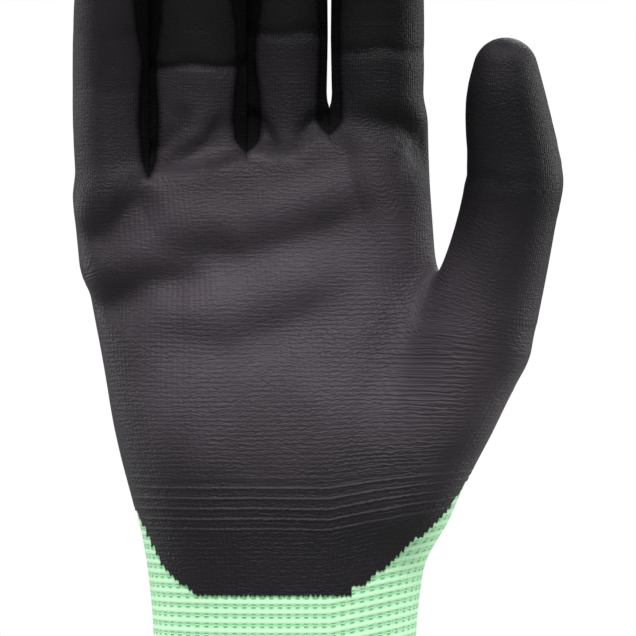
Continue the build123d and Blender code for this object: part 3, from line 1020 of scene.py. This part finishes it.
def hem_threads(material):
    """Overlock: two looper threads wound round the edge in opposite slants, and a needle thread."""
    steps = HEM_TURNS * STEPS_PER_TURN
    rim, outward = rim_path(2.0, -KNIT_THICKNESS / 2, steps)
    paths = []
    for slant, phase in ((1, 0.0), (-1, 0.5)):
        wind = slant * 2 * math.pi * (np.arange(steps) / STEPS_PER_TURN + phase)
        reach = (KNIT_THICKNESS / 2 + HEM_LOOP_PROUD) * np.cos(wind)
        paths.append(thread_path(rim, outward, reach, HEM_MIDDLE + HEM_HALF_HEIGHT * np.sin(wind)))
    dip = RIPPLE * np.sin(np.arange(HEM_TURNS * STEPS_PER_STITCH) * 2 * math.pi / STEPS_PER_STITCH)
    for side in (HEM_LOOP_PROUD, -KNIT_THICKNESS - HEM_BACK_PROUD):
        rim, outward = rim_path(HEM_TOP, side, len(dip))
        paths.append(thread_path(rim, outward, dip, HEM_TOP))
    return closed_threads(paths, HEM_THREAD_RADIUS, "hem_overlock_thread", material)


def elastic_yarns(material):
    """Rings of covered elastic inside the cuff's knit."""
    paths = []
    low, high = (corner[2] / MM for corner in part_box("cuff_elastic"))
    ripple = RIPPLE * np.sin(np.arange(ELASTIC_STEPS) * 2 * math.pi / 4)
    for height in np.linspace(low + 0.4, high - 0.4, ELASTIC_RINGS):
        rim, outward = rim_path(height, -KNIT_THICKNESS - 0.1, ELASTIC_STEPS)
        paths.append(thread_path(rim, outward, ripple, height))
    return closed_threads(paths, ELASTIC_RADIUS, "cuff_elastic_yarns", material)


# -------- camera, light and floor
VIEW_MIDDLE = (8.8, 134.2)  # X and height of the middle of the view
VIEW_WIDTH = 169.1
CAMERA_DISTANCE = 1100.0
SENSOR_WIDTH = 36.0
AIM = Vector((0, 0, 0.13))  # the middle of the glove, in metres
# Each lamp: its place and diameter in metres, and its power in watts.
LAMPS = {
    "top_front": ((-0.02, -0.55, 1.1), 0.9, 5.0),
    "left_rim": ((-1.0, 0.35, 0.35), 0.5, 7.0),
    "right_rim": ((1.0, 0.4, 0.4), 0.5, 8.0),
    "top_back": ((0.3, 0.9, 0.8), 0.6, 6.0),
}
SKY_POWER, SKY_SPREAD, SKY_DIRECTION = 3.5, 32, Vector((0.02, 0.6, -1))
ROOM_LIGHT = 0.12  # how strongly the white room lights the glove, when the camera sees it as 1
FLOOR_RADIUS, FLOOR_DROP, FLOOR_SIDES = 600.0, 0.5, 96


def make_camera():
    camera = bpy.data.cameras.new("camera")
    camera.sensor_width = SENSOR_WIDTH
    camera.lens = SENSOR_WIDTH * CAMERA_DISTANCE / VIEW_WIDTH
    camera.clip_end = 20
    holder = add_object("camera", camera)
    holder.location = (VIEW_MIDDLE[0] * MM, -CAMERA_DISTANCE * MM, VIEW_MIDDLE[1] * MM)
    holder.rotation_euler = (math.pi / 2, 0, 0)
    bpy.context.scene.camera = holder


def point_along(lamp, direction):
    lamp.rotation_euler = direction.to_track_quat("-Z", "Y").to_euler()


def make_lights():
    for name, (place, size, power) in LAMPS.items():
        light = bpy.data.lights.new(name, "AREA")
        light.shape = "DISK"
        light.size = size
        light.energy = power
        lamp = add_object(name, light)
        lamp.location = place
        point_along(lamp, AIM - Vector(place))
    sky = bpy.data.lights.new("soft_sky", "SUN")
    sky.energy = SKY_POWER
    sky.angle = math.radians(SKY_SPREAD)
    point_along(add_object("soft_sky", sky), SKY_DIRECTION)


def make_room():
    """A white room that lights the glove only weakly, and a pale round floor."""
    world = bpy.data.worlds.new("white_room")
    world.use_nodes = True
    tree = world.node_tree
    background = tree.nodes["Background"]
    background.inputs[0].default_value = (1, 1, 1, 1)
    seen = tree.nodes.new("ShaderNodeLightPath")
    strength = tree.nodes.new("ShaderNodeMapRange")
    strength.inputs["To Min"].default_value = ROOM_LIGHT
    strength.inputs["To Max"].default_value = 1.0
    tree.links.new(seen.outputs["Is Camera Ray"], strength.inputs["Value"])
    tree.links.new(strength.outputs[0], background.inputs[1])
    bpy.context.scene.world = world
    bpy.context.scene.view_settings.view_transform = "Standard"
    turns = np.linspace(0, 2 * math.pi, FLOOR_SIDES, endpoint=False)
    rim = np.column_stack([np.sin(turns), -np.cos(turns), np.zeros(FLOOR_SIDES)]) * FLOOR_RADIUS
    material = Nodes("pale_floor").surface(Base_Color=(0.42, 0.42, 0.42), Roughness=0.8)
    add_piece("floor", rim - (0, 0, FLOOR_DROP), [tuple(range(FLOOR_SIDES))], material)


# -------- making the glove
# Painted shade of the coating, as paleness: along the thumb by height, and across the fingers from left to
# right.
THUMB_SHADE = ((115, 140, 165, 190, 206), (0.85, 0.5, 0.12, 0.05, 0.24))
FINGER_SHADE = ((-54, -40, -33, -22, -10, 2, 14, 30), (0.45, 0.28, 0.36, 0.48, 0.25, 0.18, 0.1, 0.06))


def thumb_share(points):
    """How much a point of the palm side belongs to the thumb: 0 to 1."""
    return smooth_step(36, 60, points[:, 0] + 0.35 * (points[:, 2] - 130))


def ridge_strength(points):
    """How strongly the rows of stitches show through the coating: most by the thumb's root."""
    x, _, z = points.T
    ridge = 0.2 + 0.3 * smooth_step(150, 120, z) * smooth_step(66, 76, z)
    ridge += 0.45 * bell(x - 36, 14) * bell(z - 112, 26)
    ridge += 0.3 * bell(z - crotch_height(x) + 2.5, 2.2) * bell(x + 8, 8)
    return ridge * (1 - 0.6 * thumb_share(points) * smooth_step(118, 150, z))


def painted_shading(points, dark, recess):
    """Painted light and shade on the coating, as paleness: 0 to 1, and below 0 for painted shadow in the
    bottoms of creases and grooves.
    """
    x, _, z = points.T
    # painted shade: darker low on the palm and on its left side, and a little darker at the top of the palm
    shade = (0.16 + 0.8 * smooth_step(76, 120, z)) * (1 - 0.5 * smooth_step(-32, -46, x))
    shade *= 1 - 0.3 * smooth_step(150, 168, z)
    # painted shade along the thumb, and across the fingers from left to right
    shade += (np.interp(z, *THUMB_SHADE) - shade) * thumb_share(points)
    on_fingers = smooth_step(174, 190, z) * smooth_step(46, 42, x)
    shade += (np.interp(x, *FINGER_SHADE) - shade) * on_fingers
    # painted shade above each finger's first crease, where the finger curls forward
    for name, distance, depth, _ in DIGIT_CREASES[: len(FINGERS)]:  # the first crease of each finger
        digit = digits[name]
        beyond = smooth_step(-1.5, 3.5, digit.place(points)[0] - distance)
        shade *= 1 - min(0.5 * depth, 0.9) * beyond * smooth_step(2, 1, digit.distance(points))
    # painted shadow in the bottoms of the palm's folds and the digits' creases
    shade = shade * (1 - np.clip(dark, 0, 1)) - 0.25 * np.clip(dark - 0.5, 0, 1)
    # painted shadow, below 0, in the grooves between the fingers
    return shade * (1 - recess) - 0.6 * recess


def glove_skin():
    """The whole outer face with its folds, cut at the seams, and what the materials need at each point."""
    values = sample_field()
    vertices, faces = surface_nets(values)
    vertices = relax(vertices, faces, Field(values), rounds=4)
    work = cut_mesh(vertices, faces)
    refine_edge(work)
    work.verts.index_update()
    points = np.array([v.co for v in work.verts])
    polygons = [[v.index for v in f.verts] for f in work.faces]
    work.free()
    triangles = triangulate(polygons)
    course, wale, coat, _ = knit_coordinates(points)
    normals = vertex_normals(points, triangles)
    move, dark = displacement(points, normals)
    moved = press_together(points + normals * move[:, None], points[:, 0])
    recess = recess_depth(moved)
    moved[:, 1] += GROOVE_DEPTH * recess
    normals = vertex_normals(moved, triangles)
    return {
        "rest": points,
        "points": moved,
        "normals": normals,
        "polygons": polygons,
        "knit": np.stack([wale, course, np.zeros(len(points))], 1),
        "coat": coat,
        "ridge": ridge_strength(points),
        "shade": painted_shading(points, dark, recess),
    }


SEAM_MARGIN = 0.15  # a bending zone keeps this far from the seams


def blend_zone(digit, number):
    """Start and end of the bending zone of a hinge, in metres. The last one reaches as far as it starts."""
    seams = SEAMS[digit.name]
    centre = hinges[digit.joints[number]]
    hinge_at = digit.along_of(centre)
    start = seams[number] + SEAM_MARGIN
    end = 2 * hinge_at - start
    if number + 1 < len(seams):
        end = min(seams[number + 1] - SEAM_MARGIN, end + 2)
    direction = digit.direction_at(hinge_at)
    low = centre + direction * (start - hinge_at)
    high = centre + direction * (end - hinge_at)
    return tuple(low * MM), tuple(high * MM)


WRIST_BEND_BELOW, WRIST_BEND_ABOVE = 11, 13  # how far the wrist's bending zone reaches


def make_glove():
    """All visible pieces. They hide the parts they stand for, and the cuff's threads are attached to the
    cuff.
    """
    skin = glove_skin()
    coating, knit = coating_material(), knit_material()
    polygons = skin["polygons"]
    centres = np.array([skin["rest"][p].mean(0) for p in polygons])
    coated = np.array([skin["coat"][p].mean() for p in polygons]) > 0
    coated &= ~small_patches(polygons, coated)
    coated |= small_patches(polygons, ~coated)
    owner, names = split_places(centres)
    for number, place in enumerate(names):
        mine = np.nonzero(owner == number)[0]
        all_polygons = [polygons[i] for i in mine]
        coat_polygons = [polygons[i] for i in mine if coated[i]]
        if place == "palm":
            body = shell("palm_and_cuff_knit", skin, all_polygons, 0.0, KNIT_THICKNESS, knit)
            coat = shell("palm_dipped_coating", skin, coat_polygons, COAT_PROUD, COAT_SUNK, coating)
            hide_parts("palm_knit", "cuff_knit", "wrist_fold")
            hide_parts("palm_coating")
            start = (0, 0, (WRIST - WRIST_BEND_BELOW) * MM)
            end = (0, 0, (WRIST + WRIST_BEND_ABOVE) * MM)
        else:
            digit = digits[place[0]]
            joint = frame_joints[digit.joints[place[1]]]
            stretch = joint["child"]
            body = shell(f"{stretch}_sleeve", skin, all_polygons, 0.0, KNIT_THICKNESS, knit)
            coat = shell(f"{stretch}_dip", skin, coat_polygons, COAT_PROUD, COAT_SUNK, coating)
            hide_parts(f"{stretch}_knit")
            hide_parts(f"{stretch}_coating", f"{stretch}_fold")
            start, end = blend_zone(digit, place[1])
        for piece, slot in ((body, "knit"), (coat, "coating")):
            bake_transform(piece)
    thread = hem_threads(thread_material("hem_thread", (0.5, 0.85, 0.55), (0.25, 0.6, 0.33), 900.0))
    elastic = elastic_yarns(thread_material("covered_elastic", (0.6, 0.9, 0.63), (0.4, 0.75, 0.45), 700.0))
    cuff_threads = ((thread, "hem_binding", "hem_thread"), (elastic, "cuff_elastic", "elastic_yarn"))
    for piece, node, slot in cuff_threads:
        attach(piece, "cuff")
        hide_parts(node)


make_camera()
make_lights()
make_room()
make_glove()
